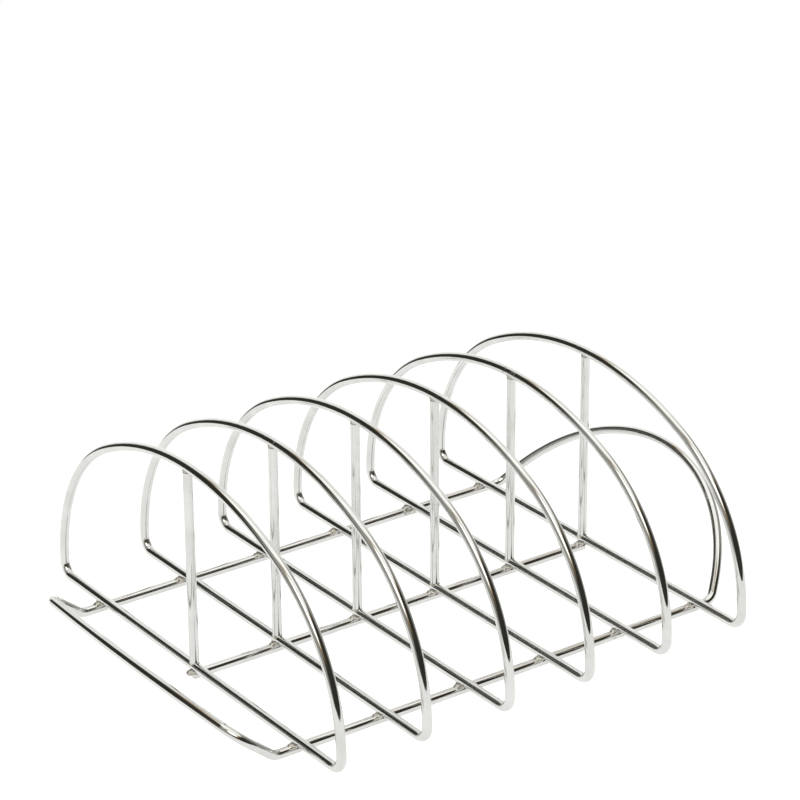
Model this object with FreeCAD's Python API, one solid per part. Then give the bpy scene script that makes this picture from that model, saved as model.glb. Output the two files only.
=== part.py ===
import FreeCAD, Part
import math
import os

# Toast rack for five slices, bent and welded from one size of round polished wire.
# Millimetres, +Z up. X runs along the rails, from the low lip to the handle. Y runs across the rack.
# The origin is on the table, under the middle of the rack's outline.

# Driving dimensions. Wire paths are measured on the wire's centreline.
WIRE = 2.5              # diameter of every wire
HOOPS = 6
PITCH = 25.0            # hoop to hoop
HOOP_WIDTH = 131.0
HOOP_HEIGHT = 55.2      # from the chord to the crown
HOOP_SHOULDER = 47.0    # radius of the arch's two sides
HOOP_CORNER = 3.75      # radius between the chord and the arch
RAIL_GAUGE = 92.2       # front rail to back rail
WELD_SET = 0.15         # how far a chord sinks into a rail when they are welded
POST_SET = 0.4          # how far a post's square end sinks into its hoop when they are welded

LIP_START = 6.4         # from the first hoop to the bend where the rails turn up
LIP_SLOPE = 13.0        # length of the slope, up to where it would meet the cross wire
LIP_ANGLE = 39.0        # degrees above level
LIP_TURN = 8.0          # degrees that each half of the bowed cross wire turns outwards
LIP_BEND = 4.3          # radius where the rails turn up
LIP_CORNER = 6.9        # radius at the two corners of the cross wire

HANDLE_START = 6.7      # from the last hoop to the bend where the rails turn up
HANDLE_LEAN = 40.0      # degrees off upright, away from the hoops
HANDLE_LEG = 5.0        # straight leg between the bend and the round top
HANDLE_TOE_IN = 26.0    # degrees that each leg turns in, within the handle's plane
HANDLE_BEND = 5.0       # radius where the rails turn up

RAIL_OVERHANG = 0.6     # centre rail beyond the centreline of the first and last chord
BEAD = 1.15             # radius of a weld bead beside a crossing
BEAD_ASIDE = 1.5        # from the chord's centreline to the bead's centre, towards the lip
BEAD_ABOVE = 0.95       # from the rail's centreline up to the bead's centre
FILLET = 1.8            # radius of the weld round the end of a post

# Worked out from them.
radius = WIRE / 2
rail_z = radius
chord_z = rail_z + WIRE - WELD_SET
crown_z = chord_z + HOOP_HEIGHT
half_width = HOOP_WIDTH / 2
half_gauge = RAIL_GAUGE / 2

lip_angle = math.radians(LIP_ANGLE)
lean = math.radians(HANDLE_LEAN)
toe_in = math.radians(HANDLE_TOE_IN)
handle_radius = (half_gauge - HANDLE_LEG * math.sin(toe_in)) / math.cos(toe_in)
handle_reach = HANDLE_LEG * math.cos(toe_in) + handle_radius * (1 - math.sin(toe_in))

lip_turn = math.radians(LIP_TURN)
lip_peak = half_gauge * math.tan(lip_turn)
lip_rounding = half_gauge - 2 * LIP_CORNER
lip_bow = lip_peak - lip_rounding * math.tan(lip_turn / 2)

lip_overhang = LIP_START + (LIP_SLOPE + lip_bow) * math.cos(lip_angle) + radius
handle_overhang = HANDLE_START + handle_reach * math.sin(lean) + radius
length = lip_overhang + (HOOPS - 1) * PITCH + handle_overhang
first_x = lip_overhang - length / 2
hoop_x = [first_x + i * PITCH for i in range(HOOPS)]
lip_x = hoop_x[0] - LIP_START
handle_x = hoop_x[-1] + HANDLE_START
rail_ys = {"front": -half_gauge, "centre": 0.0, "back": half_gauge}


def vec(x, y, z):
    return FreeCAD.Vector(x, y, z)


def rounded_loop(corners, radii):
    """Closed path: straight runs between corners, each corner rounded to its radius."""
    arcs = []
    count = len(corners)
    for i, corner in enumerate(corners):
        to_last = (corners[i - 1] - corner).normalize()
        to_next = (corners[(i + 1) % count] - corner).normalize()
        half_angle = to_last.getAngle(to_next) / 2
        tangent = radii[i] / math.tan(half_angle)
        middle = (to_last + to_next).normalize() * (radii[i] / math.sin(half_angle) - radii[i])
        arcs.append((corner + to_last * tangent, corner + middle, corner + to_next * tangent))
    edges = []
    for i, (start, middle, end) in enumerate(arcs):
        edges.append(Part.Arc(start, middle, end).toShape())
        next_start = arcs[(i + 1) % count][0]
        if end.distanceToPoint(next_start) > 0.001:
            edges.append(Part.LineSegment(end, next_start).toShape())
    return Part.Wire(edges)


def closed_wire(path):
    """Round wire bent along a closed path. Its two ends meet in a butt weld dressed flush."""
    first = path.OrderedEdges[0]
    start = first.valueAt(first.FirstParameter)
    direction = first.tangentAt(first.FirstParameter)
    section = Part.Wire([Part.makeCircle(radius, start, direction)])
    solid = path.makePipeShell([section], True, False)
    expected = math.pi * radius ** 2 * path.Length
    assert solid.isValid() and abs(solid.Volume / expected - 1) < 0.001
    return solid


def straight_wire(start, end):
    along = end - start
    return Part.makeCylinder(radius, along.Length, start, along)


def one_solid(shape):
    assert len(shape.Solids) == 1 and shape.isValid()
    return shape.Solids[0]


def hoop_path(x):
    """Straight chord with a three-centred arch over it."""
    rise = HOOP_HEIGHT - HOOP_CORNER
    side = half_width - HOOP_SHOULDER
    crown_radius = (side ** 2 + rise ** 2 - HOOP_SHOULDER ** 2) / (2 * (rise - HOOP_SHOULDER))
    turn = math.atan2(crown_radius - rise, side)
    shoulder_z = chord_z + HOOP_CORNER + HOOP_SHOULDER * math.tan(turn / 2)
    corners = [
        vec(x, -half_width, chord_z),
        vec(x, half_width, chord_z),
        vec(x, half_width, shoulder_z),
        vec(x, 0, shoulder_z + half_width / math.tan(turn)),
        vec(x, -half_width, shoulder_z),
    ]
    return rounded_loop(corners, [HOOP_CORNER, HOOP_CORNER, HOOP_SHOULDER, crown_radius, HOOP_SHOULDER])


def frame_path():
    """Front rail, handle, back rail and lip: one wire."""
    lip_top_x = lip_x - LIP_SLOPE * math.cos(lip_angle)
    lip_top_z = rail_z + LIP_SLOPE * math.sin(lip_angle)
    lip_radius = lip_rounding / math.tan(lip_turn)
    handle_peak = half_gauge / math.tan(toe_in)
    corners = [
        vec(lip_x, -half_gauge, rail_z),
        vec(handle_x, -half_gauge, rail_z),
        vec(handle_x + handle_peak * math.sin(lean), 0, rail_z + handle_peak * math.cos(lean)),
        vec(handle_x, half_gauge, rail_z),
        vec(lip_x, half_gauge, rail_z),
        vec(lip_top_x, half_gauge, lip_top_z),
        vec(lip_top_x - lip_peak * math.cos(lip_angle), 0, lip_top_z + lip_peak * math.sin(lip_angle)),
        vec(lip_top_x, -half_gauge, lip_top_z),
    ]
    radii = [LIP_BEND, HANDLE_BEND, handle_radius, HANDLE_BEND, LIP_BEND, LIP_CORNER, lip_radius, LIP_CORNER]
    return rounded_loop(corners, radii)


def rail_run(y, start_x, end_x):
    return straight_wire(vec(start_x, y, rail_z), vec(end_x, y, rail_z))


base_frame = one_solid(closed_wire(frame_path()))
centre_rail = rail_run(0, hoop_x[0] - RAIL_OVERHANG, hoop_x[-1] + RAIL_OVERHANG)
front_run = rail_run(-half_gauge, lip_x, handle_x)
back_run = rail_run(half_gauge, lip_x, handle_x)
all_rails = Part.makeCompound([front_run, centre_rail, back_run])

hoops = []
posts = []
for x in hoop_x:
    hoop = one_solid(closed_wire(hoop_path(x)).cut(all_rails))
    post_foot = vec(x, 0, chord_z + radius - POST_SET)
    post_top = vec(x, 0, crown_z - radius + POST_SET)
    hoops.append(hoop)
    posts.append(one_solid(straight_wire(post_foot, post_top).cut(hoop)))


def crossing_bead(hoop, x, y):
    """Bead in the corner between a rail and the lip side of the chord that lies on it."""
    ball = Part.makeSphere(BEAD, vec(x - BEAD_ASIDE, y, rail_z + BEAD_ABOVE))
    return one_solid(ball.cut(hoop).cut(all_rails))


def post_fillet(hoop, post, x, z, others):
    """Ring of weld where the end of a post meets its hoop."""
    ball = Part.makeSphere(FILLET, vec(x, 0, z))
    ring = ball.cut(hoop).cut(post)
    for other in others:
        ring = ring.cut(other)
    return one_solid(ring)


welds = {name: [crossing_bead(hoop, x, y) for hoop, x in zip(hoops, hoop_x)] for name, y in rail_ys.items()}
foot_welds = []
top_welds = []
for hoop, post, x, bead in zip(hoops, posts, hoop_x, welds["centre"]):
    foot_welds.append(post_fillet(hoop, post, x, chord_z + radius, [bead, centre_rail]))
    top_welds.append(post_fillet(hoop, post, x, crown_z - radius, []))

parts = {"base_frame": base_frame, "centre_rail": centre_rail}
for number, (hoop, post) in enumerate(zip(hoops, posts), start=1):
    parts[f"hoop_{number}"] = hoop
    parts[f"post_{number}"] = post
for name, beads in welds.items():
    parts[f"{name}_rail_welds"] = Part.makeCompound(beads)
parts["post_foot_welds"] = Part.makeCompound(foot_welds)
parts["post_top_welds"] = Part.makeCompound(top_welds)

os.makedirs("parts", exist_ok=True)
for name, shape in parts.items():
    assert shape.isValid(), name
    shape.exportStep(f"parts/{name}.step")
    box = shape.BoundBox
    print(f"{name:18s} solids {len(shape.Solids)}  volume {shape.Volume:9.2f}"
          f"  x {box.XMin:7.2f} {box.XMax:7.2f}"
          f"  y {box.YMin:7.2f} {box.YMax:7.2f}"
          f"  z {box.ZMin:6.2f} {box.ZMax:6.2f}")
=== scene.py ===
import bpy
import bmesh
import math
from mathutils import Matrix, Quaternion, Vector
from mathutils.noise import noise


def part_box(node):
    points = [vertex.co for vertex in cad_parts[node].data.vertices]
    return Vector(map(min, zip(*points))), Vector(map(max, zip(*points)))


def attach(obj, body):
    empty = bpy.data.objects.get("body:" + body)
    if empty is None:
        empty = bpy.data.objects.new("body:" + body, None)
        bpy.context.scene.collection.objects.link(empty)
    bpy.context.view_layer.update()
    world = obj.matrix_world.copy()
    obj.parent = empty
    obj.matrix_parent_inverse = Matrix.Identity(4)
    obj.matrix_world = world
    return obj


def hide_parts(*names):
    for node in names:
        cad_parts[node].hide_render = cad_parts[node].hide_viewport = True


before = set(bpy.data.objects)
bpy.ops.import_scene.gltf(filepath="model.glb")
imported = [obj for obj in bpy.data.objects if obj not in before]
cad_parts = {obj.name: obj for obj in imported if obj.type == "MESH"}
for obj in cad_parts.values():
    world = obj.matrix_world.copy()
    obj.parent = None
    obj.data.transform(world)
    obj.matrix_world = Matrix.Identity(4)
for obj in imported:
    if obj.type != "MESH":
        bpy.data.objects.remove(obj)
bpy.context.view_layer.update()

scene = bpy.context.scene

# ---------------------------------------------------------------- sizes, in metres and degrees
# Read from model.glb where a node's box gives them.
rail_low, rail_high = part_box("centre_rail")
radius = (rail_high.z - rail_low.z) / 2
hoop_boxes = [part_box(f"hoop_{number}") for number in range(1, 7)]
hoop_x = [(low.x + high.x) / 2 for low, high in hoop_boxes]
hoop_low, hoop_high = hoop_boxes[0]
half_width = hoop_high.y - radius
crown_z = hoop_high.z - radius
chord_z = hoop_low.z + radius
half_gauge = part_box("base_frame")[1].y - radius
rail_z = radius

# The bends, as the CAD has them.
HOOP_SHOULDER = 0.047
HOOP_CORNER = 0.00375
LIP_START = 0.0064
LIP_SLOPE = 0.013
LIP_ANGLE = math.radians(39.0)
LIP_TURN = math.radians(8.0)
LIP_BEND = 0.0043
LIP_CORNER = 0.0069
HANDLE_START = 0.0067
HANDLE_LEAN = math.radians(40.0)
HANDLE_LEG = 0.005
HANDLE_TOE_IN = math.radians(26.0)
HANDLE_BEND = 0.005

# How finely the wires are meshed.
ROUND = 40                       # points round a wire
ARC_STEP = math.radians(2.5)
LINE_STEP = 0.003
SAME_POINT = 1e-6

# A cut end of a wire.
END_BEVEL = 0.0003
END_DOME = 0.3                   # height of the dome on it, as a share of the bevel

# How far a hand-bent wire strays from its line, sideways, and over what length.
STRAY = 0.00012
STRAY_LENGTH = 0.045
HOOP_SEED_STEP = 7.3             # each hoop strays in its own way
FRAME_SEED = 61.0

# Weld metal, in wire radii.
STUB = 0.96                      # slimmer than the wire, so that only the weld metal shows
LIP_STUB = 2.4                   # along a rail from the chord, towards the lip
HANDLE_STUB = 1.3                # along a rail from the chord, towards the handle
HOOP_STUB = 2.2                  # along a hoop, each way
POST_STUB = 2.6
BEAD = 0.80
BEAD_VARIES = 0.1
BEAD_ASIDE = 1.15                # from the chord's centreline, towards the lip
BEAD_ABOVE = 0.70                # above the rail's centreline
BEAD_WANDER = 0.3                # along the chord, at most
BEAD_SHAPE = (1.15, 1.1, 0.8)
DROP = 0.55                      # a smaller ball beside each bead, as a share of the bead
DROP_ASIDE = 0.35
DROP_OUT = 0.7
DROP_ABOVE = 0.1
COLLAR = 1.05
COLLAR_VARIES = 0.04
COLLAR_OUT = 0.72                # from the hoop's centreline, towards the middle of the post
COLLAR_SHAPE = (1.0, 1.08, 0.7)

# Where the noise is read for each weld: how far apart two welds read it, and in which row.
WANDER_NOISE = (3.1, 0.5)
BEAD_NOISE = (1.7, 2.5)
COLLAR_NOISE = (2.3, 4.5)
RAIL_SEED_STEP = 10
FOOT_SEED = 40
TOP_SEED = 50

# How the balls and stubs of a weld are melted together.
WELD_VOXEL = 0.00017
WELD_SMOOTHING = 9
WELD_ROUGHNESS = 0.00005
WELD_GRAIN = 1400                # lumps in a metre


# ---------------------------------------------------------------- paths
def line_points(start, end):
    """Points after start and before end."""
    count = max(1, round((end - start).length / LINE_STEP))
    return [start.lerp(end, i / count) for i in range(1, count)]


def straight_points(start, end):
    """Points along a straight wire. One close to each end keeps the bevel's shading off the wire's side."""
    inset = (end - start).normalized() * 2 * END_BEVEL
    inner_start = start + inset
    inner_end = end - inset
    return [start, inner_start] + line_points(inner_start, inner_end) + [inner_end, end]


def rounded_loop(corners, radii):
    """Points along a closed path: straight runs between corners, each corner rounded to its radius."""
    arcs = []
    for i, corner in enumerate(corners):
        to_last = (corners[i - 1] - corner).normalized()
        to_next = (corners[(i + 1) % len(corners)] - corner).normalized()
        half_angle = to_last.angle(to_next) / 2
        tangent = radii[i] / math.tan(half_angle)
        centre = corner + (to_last + to_next).normalized() * radii[i] / math.sin(half_angle)
        start = corner + to_last * tangent - centre
        end = corner + to_next * tangent - centre
        turn = math.pi - 2 * half_angle
        count = max(3, math.ceil(turn / ARC_STEP))
        arc = []
        for step in range(count + 1):
            share = step / count
            arc.append(centre + (start * math.sin((1 - share) * turn) + end * math.sin(share * turn))
                       / math.sin(turn))
        arcs.append(arc)
    points = []
    for i, arc in enumerate(arcs):
        if points and (points[-1] - arc[0]).length < SAME_POINT:
            arc = arc[1:]
        points += arc
        next_start = arcs[(i + 1) % len(arcs)][0]
        if (next_start - points[-1]).length > SAME_POINT:
            points += line_points(points[-1], next_start)
    if (points[-1] - points[0]).length < SAME_POINT:
        points.pop()
    return points


def hoop_points(x):
    """Straight chord with a three-centred arch over it."""
    rise = crown_z - chord_z - HOOP_CORNER
    side = half_width - HOOP_SHOULDER
    crown_radius = (side ** 2 + rise ** 2 - HOOP_SHOULDER ** 2) / (2 * (rise - HOOP_SHOULDER))
    turn = math.atan2(crown_radius - rise, side)
    shoulder_z = chord_z + HOOP_CORNER + HOOP_SHOULDER * math.tan(turn / 2)
    corners = [
        Vector((x, -half_width, chord_z)),
        Vector((x, half_width, chord_z)),
        Vector((x, half_width, shoulder_z)),
        Vector((x, 0, shoulder_z + half_width / math.tan(turn))),
        Vector((x, -half_width, shoulder_z)),
    ]
    return rounded_loop(corners, [HOOP_CORNER, HOOP_CORNER, HOOP_SHOULDER, crown_radius, HOOP_SHOULDER])


def base_frame_points():
    """Front rail, handle, back rail and lip: one wire."""
    lip_x = hoop_x[0] - LIP_START
    lip_top_x = lip_x - LIP_SLOPE * math.cos(LIP_ANGLE)
    lip_top_z = rail_z + LIP_SLOPE * math.sin(LIP_ANGLE)
    lip_peak = half_gauge * math.tan(LIP_TURN)
    lip_peak_x = lip_top_x - lip_peak * math.cos(LIP_ANGLE)
    lip_peak_z = lip_top_z + lip_peak * math.sin(LIP_ANGLE)
    lip_radius = (half_gauge - 2 * LIP_CORNER) / math.tan(LIP_TURN)
    handle_x = hoop_x[-1] + HANDLE_START
    handle_peak = half_gauge / math.tan(HANDLE_TOE_IN)
    handle_peak_x = handle_x + handle_peak * math.sin(HANDLE_LEAN)
    handle_peak_z = rail_z + handle_peak * math.cos(HANDLE_LEAN)
    handle_radius = (half_gauge - HANDLE_LEG * math.sin(HANDLE_TOE_IN)) / math.cos(HANDLE_TOE_IN)
    corners = [
        Vector((lip_x, -half_gauge, rail_z)),
        Vector((handle_x, -half_gauge, rail_z)),
        Vector((handle_peak_x, 0, handle_peak_z)),
        Vector((handle_x, half_gauge, rail_z)),
        Vector((lip_x, half_gauge, rail_z)),
        Vector((lip_top_x, half_gauge, lip_top_z)),
        Vector((lip_peak_x, 0, lip_peak_z)),
        Vector((lip_top_x, -half_gauge, lip_top_z)),
    ]
    radii = [LIP_BEND, HANDLE_BEND, handle_radius, HANDLE_BEND, LIP_BEND, LIP_CORNER, lip_radius, LIP_CORNER]
    return rounded_loop(corners, radii)


def strayed(points, axis, seed):
    """The same path with a slow, slight sideways wander, as a bent wire has. It closes on itself."""
    total = sum((points[i] - points[i - 1]).length for i in range(len(points)))
    ring = total / (2 * math.pi * STRAY_LENGTH)
    moved = []
    along = 0.0
    for i, point in enumerate(points):
        if i:
            along += (point - points[i - 1]).length
        angle = 2 * math.pi * along / total
        value = noise(Vector((math.cos(angle) * ring, math.sin(angle) * ring, seed)))
        moved.append(point + axis * STRAY * value)
    return moved


# ---------------------------------------------------------------- meshes
def add_object(name, mesh):
    piece = bpy.data.objects.new(name, mesh)
    scene.collection.objects.link(piece)
    return piece


def shade_smooth(bm):
    for face in bm.faces:
        face.smooth = True


def directions(points, closed):
    """The tangent and a sideways direction at each point, turning no more than the path does."""
    count = len(points)
    tangents = []
    for i in range(count):
        last = points[i - 1] if closed or i else points[i]
        following = points[(i + 1) % count] if closed or i < count - 1 else points[i]
        tangents.append((following - last).normalized())
    sides = [tangents[0].orthogonal().normalized()]
    for last, tangent in zip(tangents, tangents[1:]):
        sides.append(last.rotation_difference(tangent) @ sides[-1])
    if closed:
        closing = tangents[-1].rotation_difference(tangents[0]) @ sides[-1]
        twist = math.atan2(closing.cross(sides[0]).dot(tangents[0]), closing.dot(sides[0]))
        for i, tangent in enumerate(tangents):
            sides[i] = Quaternion(tangent, twist * i / count) @ sides[i]
    return tangents, sides


def wire_rings(points, closed):
    """Rings along a wire: centre, tangent, side, radius and distance along it. Cut ends are bevelled."""
    rings = []
    along = 0.0
    for i, (point, tangent, side) in enumerate(zip(points, *directions(points, closed))):
        if i:
            along += (point - points[i - 1]).length
        rings.append((point, tangent, side, radius, along))
    if not closed:
        point, tangent, side, size, along = rings[0]
        rings[0] = (point + tangent * END_BEVEL, tangent, side, size, along)
        rings.insert(0, (point, tangent, side, size - END_BEVEL, along))
        point, tangent, side, size, along = rings[-1]
        rings[-1] = (point - tangent * END_BEVEL, tangent, side, size, along)
        rings.append((point, tangent, side, size - END_BEVEL, along))
    return rings


def cut_end(bm, layer, loop, centre, outwards):
    """Slightly domed face over a cut end."""
    tip = bm.verts.new(centre + outwards * END_BEVEL * END_DOME)
    tip[layer] = loop[0][layer]
    for step in range(ROUND):
        bm.faces.new((loop[step], loop[(step + 1) % ROUND], tip))


def wire_mesh(name, points, closed):
    """Round tube along points. Its "drawn" layer holds each point's place on the wire before it was bent."""
    bm = bmesh.new()
    layer = bm.verts.layers.float_vector.new("drawn")
    rings = wire_rings(points, closed)
    loops = []
    for centre, tangent, side, size, along in rings:
        across = tangent.cross(side)
        loop = []
        for step in range(ROUND):
            angle = 2 * math.pi * step / ROUND
            vert = bm.verts.new(centre + (side * math.cos(angle) + across * math.sin(angle)) * size)
            vert[layer] = Vector((along, radius * math.cos(angle), radius * math.sin(angle)))
            loop.append(vert)
        loops.append(loop)
    pairs = list(zip(loops, loops[1:]))
    if closed:
        pairs.append((loops[-1], loops[0]))
    for first, second in pairs:
        for step in range(ROUND):
            after = (step + 1) % ROUND
            bm.faces.new((first[step], first[after], second[after], second[step]))
    if not closed:
        start_centre, start_tangent = rings[0][:2]
        end_centre, end_tangent = rings[-1][:2]
        cut_end(bm, layer, loops[0][::-1], start_centre, -start_tangent)
        cut_end(bm, layer, loops[-1], end_centre, end_tangent)
    bmesh.ops.recalc_face_normals(bm, faces=bm.faces)
    shade_smooth(bm)
    mesh = bpy.data.meshes.new(name)
    bm.to_mesh(mesh)
    bm.free()
    return add_object(name, mesh)


def ball(bm, centre, size, shape=(1, 1, 1)):
    matrix = Matrix.Translation(centre) @ Matrix.Diagonal((*shape, 1))
    bmesh.ops.create_icosphere(bm, subdivisions=3, radius=size, matrix=matrix)


def stub(bm, start, end):
    """Short closed cylinder inside a wire, which the weld metal runs out onto."""
    along = end - start
    matrix = Matrix.Translation((start + end) / 2) @ along.to_track_quat("Z", "Y").to_matrix().to_4x4()
    size = radius * STUB
    bmesh.ops.create_cone(bm, cap_ends=True, segments=32, radius1=size, radius2=size, depth=along.length,
                          matrix=matrix)


def melted(name, build):
    """The balls and stubs that build makes, melted into one smooth skin."""
    bm = bmesh.new()
    build(bm)
    mesh = bpy.data.meshes.new(name)
    bm.to_mesh(mesh)
    bm.free()
    piece = add_object(name, mesh)
    remesh = piece.modifiers.new("melt", "REMESH")
    remesh.mode = "VOXEL"
    remesh.voxel_size = WELD_VOXEL
    smooth = piece.modifiers.new("flow", "SMOOTH")
    smooth.factor = 0.5
    smooth.iterations = WELD_SMOOTHING
    graph = bpy.context.evaluated_depsgraph_get()
    skin = bpy.data.meshes.new_from_object(piece.evaluated_get(graph))
    bpy.data.objects.remove(piece)
    return skin


def weld_mesh(name, builders):
    """One piece with a skin of weld metal for each builder, slightly roughened."""
    skins = [melted(f"{name}_{number}", build) for number, build in enumerate(builders)]
    bm = bmesh.new()
    for skin in skins:
        bm.from_mesh(skin)
        bpy.data.meshes.remove(skin)
    bm.normal_update()
    for vert in bm.verts:
        vert.co += vert.normal * noise(vert.co * WELD_GRAIN) * WELD_ROUGHNESS
    shade_smooth(bm)
    mesh = bpy.data.meshes.new(name)
    bm.to_mesh(mesh)
    bm.free()
    return add_object(name, mesh)


def uneven(seed, spacing, row):
    """A value between -1 and 1 that differs from weld to weld and is the same in each run."""
    return noise(Vector((seed * spacing, row, 0.0)))


def crossing_weld(x, y, seed):
    """Bead in the corner between a rail and the lip side of the chord that lies on it."""
    def build(bm):
        start_x = x - LIP_STUB * radius
        end_x = x + HANDLE_STUB * radius
        if y == 0:
            start_x = max(start_x, rail_low.x + END_BEVEL)
            end_x = min(end_x, rail_high.x - END_BEVEL)
        reach = HOOP_STUB * radius
        stub(bm, Vector((start_x, y, rail_z)), Vector((end_x, y, rail_z)))
        stub(bm, Vector((x, y - reach, chord_z)), Vector((x, y + reach, chord_z)))
        wander = uneven(seed, *WANDER_NOISE)
        size = radius * (BEAD + BEAD_VARIES * uneven(seed, *BEAD_NOISE))
        bead_y = y + wander * BEAD_WANDER * radius
        centre = Vector((x - BEAD_ASIDE * radius, bead_y, rail_z + BEAD_ABOVE * radius))
        ball(bm, centre, size, BEAD_SHAPE)
        drop_y = math.copysign(DROP_OUT * radius, wander)
        ball(bm, centre + Vector((DROP_ASIDE * radius, drop_y, DROP_ABOVE * radius)), size * DROP)
    return build


def post_weld(x, z, up, seed):
    """Collar of weld metal where a post meets its hoop. The post runs up from there, or down if up is -1."""
    def build(bm):
        reach = HOOP_STUB * radius
        stub(bm, Vector((x, 0, z)), Vector((x, 0, z + up * POST_STUB * radius)))
        stub(bm, Vector((x, -reach, z)), Vector((x, reach, z)))
        size = radius * (COLLAR + COLLAR_VARIES * uneven(seed, *COLLAR_NOISE))
        ball(bm, Vector((x, 0, z + up * COLLAR_OUT * radius)), size, COLLAR_SHAPE)
    return build


# ---------------------------------------------------------------- materials
def new_material(name):
    material = bpy.data.materials.new(name)
    material.use_nodes = True
    tree = material.node_tree
    return material, tree, tree.nodes["Principled BSDF"]


def node(tree, kind, **settings):
    made = tree.nodes.new(kind)
    for key, value in settings.items():
        if key in made.inputs:
            made.inputs[key].default_value = value
        else:
            setattr(made, key, value)
    return made


NOISE_MIDDLE = (0.35, 0.65)      # where nearly all of a noise's values lie


def spread(tree, source, low, high):
    """Spreads the middle of a noise out between two values."""
    made = node(tree, "ShaderNodeMapRange")
    made.inputs["From Min"].default_value = NOISE_MIDDLE[0]
    made.inputs["From Max"].default_value = NOISE_MIDDLE[1]
    made.inputs["To Min"].default_value = low
    made.inputs["To Max"].default_value = high
    tree.links.new(source, made.inputs["Value"])
    return made.outputs["Result"]


# The colour sockets of a Mix node, which share their names with its other sockets.
MIX_FACTOR = 0
MIX_FIRST = 6
MIX_SECOND = 7
MIX_RESULT = 2


def colour_mix(tree, factor, first, second):
    """Mixes two colours. Each is a plain colour or another node's output."""
    made = tree.nodes.new("ShaderNodeMix")
    made.data_type = "RGBA"
    tree.links.new(factor, made.inputs[MIX_FACTOR])
    for index, colour in ((MIX_FIRST, first), (MIX_SECOND, second)):
        if isinstance(colour, tuple):
            made.inputs[index].default_value = (*colour, 1)
        else:
            tree.links.new(colour, made.inputs[index])
    return made.outputs[MIX_RESULT]


def noise_at(tree, place, **settings):
    made = node(tree, "ShaderNodeTexNoise", **settings)
    tree.links.new(place, made.inputs["Vector"])
    return made.outputs["Fac"]


def bump(tree, height, strength, distance):
    made = node(tree, "ShaderNodeBump", Strength=strength, Distance=distance)
    tree.links.new(height, made.inputs["Height"])
    return made


# Noise scales are in features to the metre.
WIRE_COLOURS = ((0.585, 0.585, 0.565), (0.655, 0.655, 0.64))
WIRE_ROUGHNESS = (0.05, 0.12)
DRAWN_SCALE = (60, 5200, 5200)   # along the wire, and across it
HAZE_SCALE = 160.0
RIPPLE_SCALE = 220.0
DRAWN_DEPTH = 0.000004
RIPPLE_DEPTH = 0.00002


def polished_wire():
    """Drawn wire, polished bright: faint lines along it, a slow ripple, and a little haze in patches."""
    material, tree, shader = new_material("polished_wire")
    shader.inputs["Metallic"].default_value = 1.0
    drawn = node(tree, "ShaderNodeAttribute", attribute_name="drawn")
    stretch = node(tree, "ShaderNodeMapping")
    stretch.inputs["Scale"].default_value = DRAWN_SCALE
    tree.links.new(drawn.outputs["Vector"], stretch.inputs["Vector"])
    lines = noise_at(tree, stretch.outputs["Vector"], Scale=1.0, Detail=3.0, Roughness=0.6)
    point = node(tree, "ShaderNodeTexCoord").outputs["Object"]
    haze = noise_at(tree, point, Scale=HAZE_SCALE, Detail=4.0, Roughness=0.6)
    ripple = noise_at(tree, point, Scale=RIPPLE_SCALE, Detail=1.0, Roughness=0.4)
    colour = colour_mix(tree, spread(tree, haze, 0, 1), *WIRE_COLOURS)
    tree.links.new(colour, shader.inputs["Base Color"])
    tree.links.new(spread(tree, haze, *WIRE_ROUGHNESS), shader.inputs["Roughness"])
    fine = bump(tree, lines, 0.25, DRAWN_DEPTH)
    slow = bump(tree, ripple, 0.6, RIPPLE_DEPTH)
    tree.links.new(fine.outputs["Normal"], slow.inputs["Normal"])
    tree.links.new(slow.outputs["Normal"], shader.inputs["Normal"])
    return material


WELD_COLOURS = ((0.36, 0.34, 0.29), (0.56, 0.55, 0.51))
WELD_METAL_ROUGHNESS = (0.24, 0.42)
PATCH_SCALE = 900.0
GRAIN_SCALE = 5000.0
GRAIN_DEPTH = 0.00003


def weld_metal():
    """The same bright metal, rougher and a little straw-coloured where it melted."""
    material, tree, shader = new_material("weld_metal")
    shader.inputs["Metallic"].default_value = 1.0
    point = node(tree, "ShaderNodeTexCoord").outputs["Object"]
    patches = noise_at(tree, point, Scale=PATCH_SCALE, Detail=4.0, Roughness=0.6)
    grain = noise_at(tree, point, Scale=GRAIN_SCALE, Detail=3.0, Roughness=0.6)
    colour = colour_mix(tree, spread(tree, patches, 0, 1), *WELD_COLOURS)
    tree.links.new(colour, shader.inputs["Base Color"])
    tree.links.new(spread(tree, patches, *WELD_METAL_ROUGHNESS), shader.inputs["Roughness"])
    pits = bump(tree, grain, 0.4, GRAIN_DEPTH)
    tree.links.new(pits.outputs["Normal"], shader.inputs["Normal"])
    return material


# ---------------------------------------------------------------- the object
wire_material = polished_wire()
weld_material = weld_metal()


def place(piece, material, slot, *nodes):
    """Gives a piece its material and its body, and hides the CAD nodes that it stands for. Its slot is not
    used.
    """
    piece.data.materials.clear()
    piece.data.materials.append(material)
    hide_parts(*nodes)
    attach(piece, "root")


for number, x in enumerate(hoop_x, start=1):
    path = strayed(hoop_points(x), Vector((1, 0, 0)), number * HOOP_SEED_STEP)
    place(wire_mesh(f"hoop_wire_{number}", path, True), wire_material, "wire", f"hoop_{number}")
    low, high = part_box(f"post_{number}")
    post = straight_points(Vector((x, 0, low.z)), Vector((x, 0, high.z)))
    place(wire_mesh(f"post_wire_{number}", post, False), wire_material, "wire", f"post_{number}")

path = strayed(base_frame_points(), Vector((0, 1, 0)), FRAME_SEED)
place(wire_mesh("base_frame_wire", path, True), wire_material, "wire", "base_frame")
path = straight_points(Vector((rail_low.x, 0, rail_z)), Vector((rail_high.x, 0, rail_z)))
place(wire_mesh("centre_rail_wire", path, False), wire_material, "wire", "centre_rail")

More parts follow.
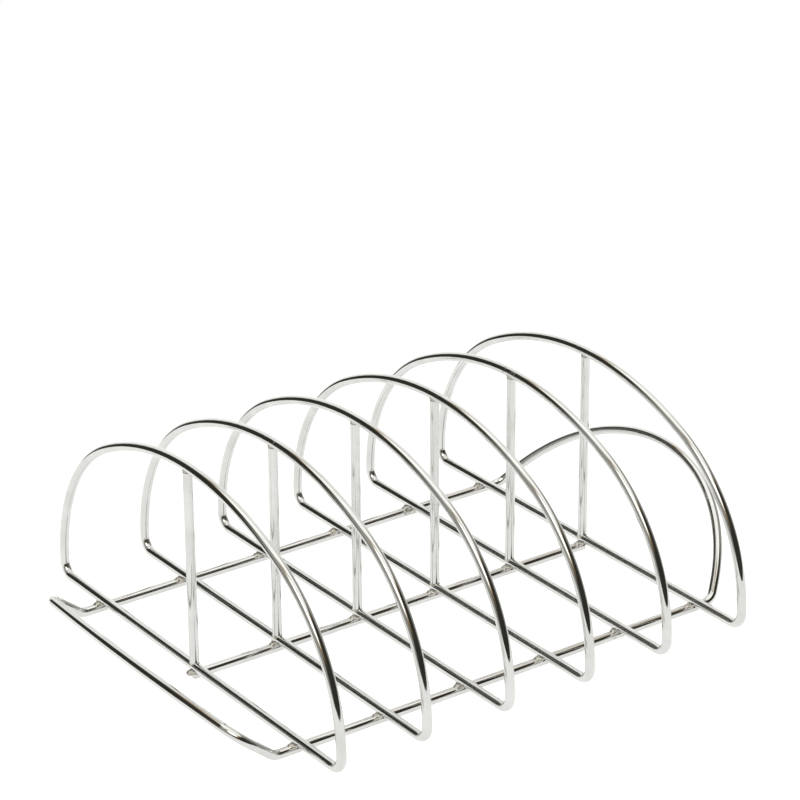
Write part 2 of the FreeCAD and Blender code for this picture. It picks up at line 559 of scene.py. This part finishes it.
rail_ys = {"front": -half_gauge, "centre": 0.0, "back": half_gauge}
for offset, (name, y) in enumerate(rail_ys.items()):
    builders = [crossing_weld(x, y, i + RAIL_SEED_STEP * offset) for i, x in enumerate(hoop_x)]
    place(weld_mesh(f"{name}_rail_beads", builders), weld_material, "weld", f"{name}_rail_welds")
builders = [post_weld(x, chord_z, 1, i + FOOT_SEED) for i, x in enumerate(hoop_x)]
place(weld_mesh("post_foot_beads", builders), weld_material, "weld", "post_foot_welds")
builders = [post_weld(x, crown_z, -1, i + TOP_SEED) for i, x in enumerate(hoop_x)]
place(weld_mesh("post_top_beads", builders), weld_material, "weld", "post_top_welds")


# ---------------------------------------------------------------- floor, light and camera
FLOOR_SIZE = 0.44
FLOOR_COLOUR = (0.35, 0.35, 0.35, 1)
FLOOR_GLOW = 0.9                 # light from within the table, which washes out the shadows on it


def make_floor():
    """Plain table, lit from below like a photographer's light table."""
    half = FLOOR_SIZE / 2
    mesh = bpy.data.meshes.new("floor")
    corners = [(-half, -half, 0), (half, -half, 0), (half, half, 0), (-half, half, 0)]
    mesh.from_pydata(corners, [], [(0, 1, 2, 3)])
    material, tree, shader = new_material("pale_floor")
    shader.inputs["Base Color"].default_value = FLOOR_COLOUR
    shader.inputs["Roughness"].default_value = 0.9
    shader.inputs["Specular IOR Level"].default_value = 0.1
    shader.inputs["Emission Color"].default_value = (1, 1, 1, 1)
    shader.inputs["Emission Strength"].default_value = FLOOR_GLOW
    mesh.materials.append(material)
    add_object("floor", mesh)


CAMERA_AZIMUTH = math.radians(-35.35)
CAMERA_ELEVATION = math.radians(23.3)
CAMERA_ROLL = math.radians(-0.4)
CAMERA_DISTANCE = 0.765
CAMERA_PAST_HOOP = 0.0604        # the aim, from the first hoop towards the handle
CAMERA_AIM = Vector((hoop_x[0] + CAMERA_PAST_HOOP, -0.0052, 0.0630))
CAMERA_LENS = 135.6


def make_camera():
    camera = add_object("camera", bpy.data.cameras.new("camera"))
    back = Vector((math.sin(CAMERA_AZIMUTH) * math.cos(CAMERA_ELEVATION),
                   -math.cos(CAMERA_AZIMUTH) * math.cos(CAMERA_ELEVATION),
                   math.sin(CAMERA_ELEVATION)))
    camera.location = CAMERA_AIM + back * CAMERA_DISTANCE
    camera.rotation_mode = "QUATERNION"
    camera.rotation_quaternion = (-back).to_track_quat("-Z", "Y") @ Quaternion((0, 0, 1), CAMERA_ROLL)
    camera.data.sensor_width = 36
    camera.data.lens = CAMERA_LENS
    camera.data.clip_start = 0.01
    camera.data.clip_end = 50
    scene.camera = camera


# The studio round the table: dark walls, paler at the two ends, a white sweep behind, a white ceiling, and a
# brighter panel in it. A warm tone lies along the edges of the ceiling and the panel.
WALL = (0.042, 0.040, 0.033)
WARM = (0.38, 0.27, 0.13)
SIDE = (0.42, 0.42, 0.40)
SWEEP = (1.2, 1.2, 1.18)
CEILING = (1.5, 1.5, 1.48)
KEY = (3.0, 3.0, 3.0)
WHITE = (1.0, 1.0, 1.0)
SWEEP_TOWARDS = Vector((0.58, 0.815, 0)).normalized()
KEY_TOWARDS = Vector((-0.53, -0.42, 0.74)).normalized()

# Where each tone starts and where it is full.
SIDE_EDGE = (0.8, 0.95)          # cosine of the angle from the X axis, seen from above
SWEEP_EDGE = (0.68, 0.85)        # cosine of the angle from the middle of the sweep, seen from above
WARM_EDGE = (46, 54)             # degrees above level
CEILING_EDGE = (51, 59)          # degrees above level
WARM_KEY_EDGE = (34, 20)         # degrees from the middle of the panel
KEY_EDGE = (24, 11)              # degrees from the middle of the panel


def soft_edge(tree, value, edge):
    made = node(tree, "ShaderNodeMapRange", interpolation_type="SMOOTHSTEP")
    made.inputs["From Min"].default_value = edge[0]
    made.inputs["From Max"].default_value = edge[1]
    tree.links.new(value, made.inputs["Value"])
    return made.outputs["Result"]


def cosine_to(tree, source, vector):
    made = node(tree, "ShaderNodeVectorMath", operation="DOT_PRODUCT")
    tree.links.new(source, made.inputs[0])
    made.inputs[1].default_value = vector
    return made.outputs["Value"]


def sines(angles):
    return [math.sin(math.radians(angle)) for angle in angles]


def cosines(angles):
    return [math.cos(math.radians(angle)) for angle in angles]


def make_studio():
    world = bpy.data.worlds.new("studio")
    scene.world = world
    world.use_nodes = True
    tree = world.node_tree
    direction = node(tree, "ShaderNodeTexCoord").outputs["Generated"]
    flat = node(tree, "ShaderNodeVectorMath", operation="MULTIPLY")
    flat.inputs[1].default_value = (1, 1, 0)
    tree.links.new(direction, flat.inputs[0])
    level = node(tree, "ShaderNodeVectorMath", operation="NORMALIZE")
    tree.links.new(flat.outputs["Vector"], level.inputs[0])
    across = node(tree, "ShaderNodeMath", operation="ABSOLUTE")
    tree.links.new(cosine_to(tree, level.outputs["Vector"], Vector((1, 0, 0))), across.inputs[0])
    sweep = cosine_to(tree, level.outputs["Vector"], SWEEP_TOWARDS)
    height = cosine_to(tree, direction, Vector((0, 0, 1)))
    key = cosine_to(tree, direction, KEY_TOWARDS)
    layers = (
        (across.outputs["Value"], SIDE_EDGE, SIDE),
        (sweep, SWEEP_EDGE, SWEEP),
        (height, sines(WARM_EDGE), WARM),
        (height, sines(CEILING_EDGE), CEILING),
        (key, cosines(WARM_KEY_EDGE), WARM),
        (key, cosines(KEY_EDGE), KEY),
    )
    colour = WALL
    for value, edge, tone in layers:
        colour = colour_mix(tree, soft_edge(tree, value, edge), colour, tone)
    # The studio lights the object and is mirrored in it, but behind the object there is plain white.
    seen = node(tree, "ShaderNodeLightPath").outputs["Is Camera Ray"]
    tree.links.new(colour_mix(tree, seen, colour, WHITE), tree.nodes["Background"].inputs["Color"])


make_floor()
make_camera()
make_studio()
scene.view_settings.view_transform = "Standard"
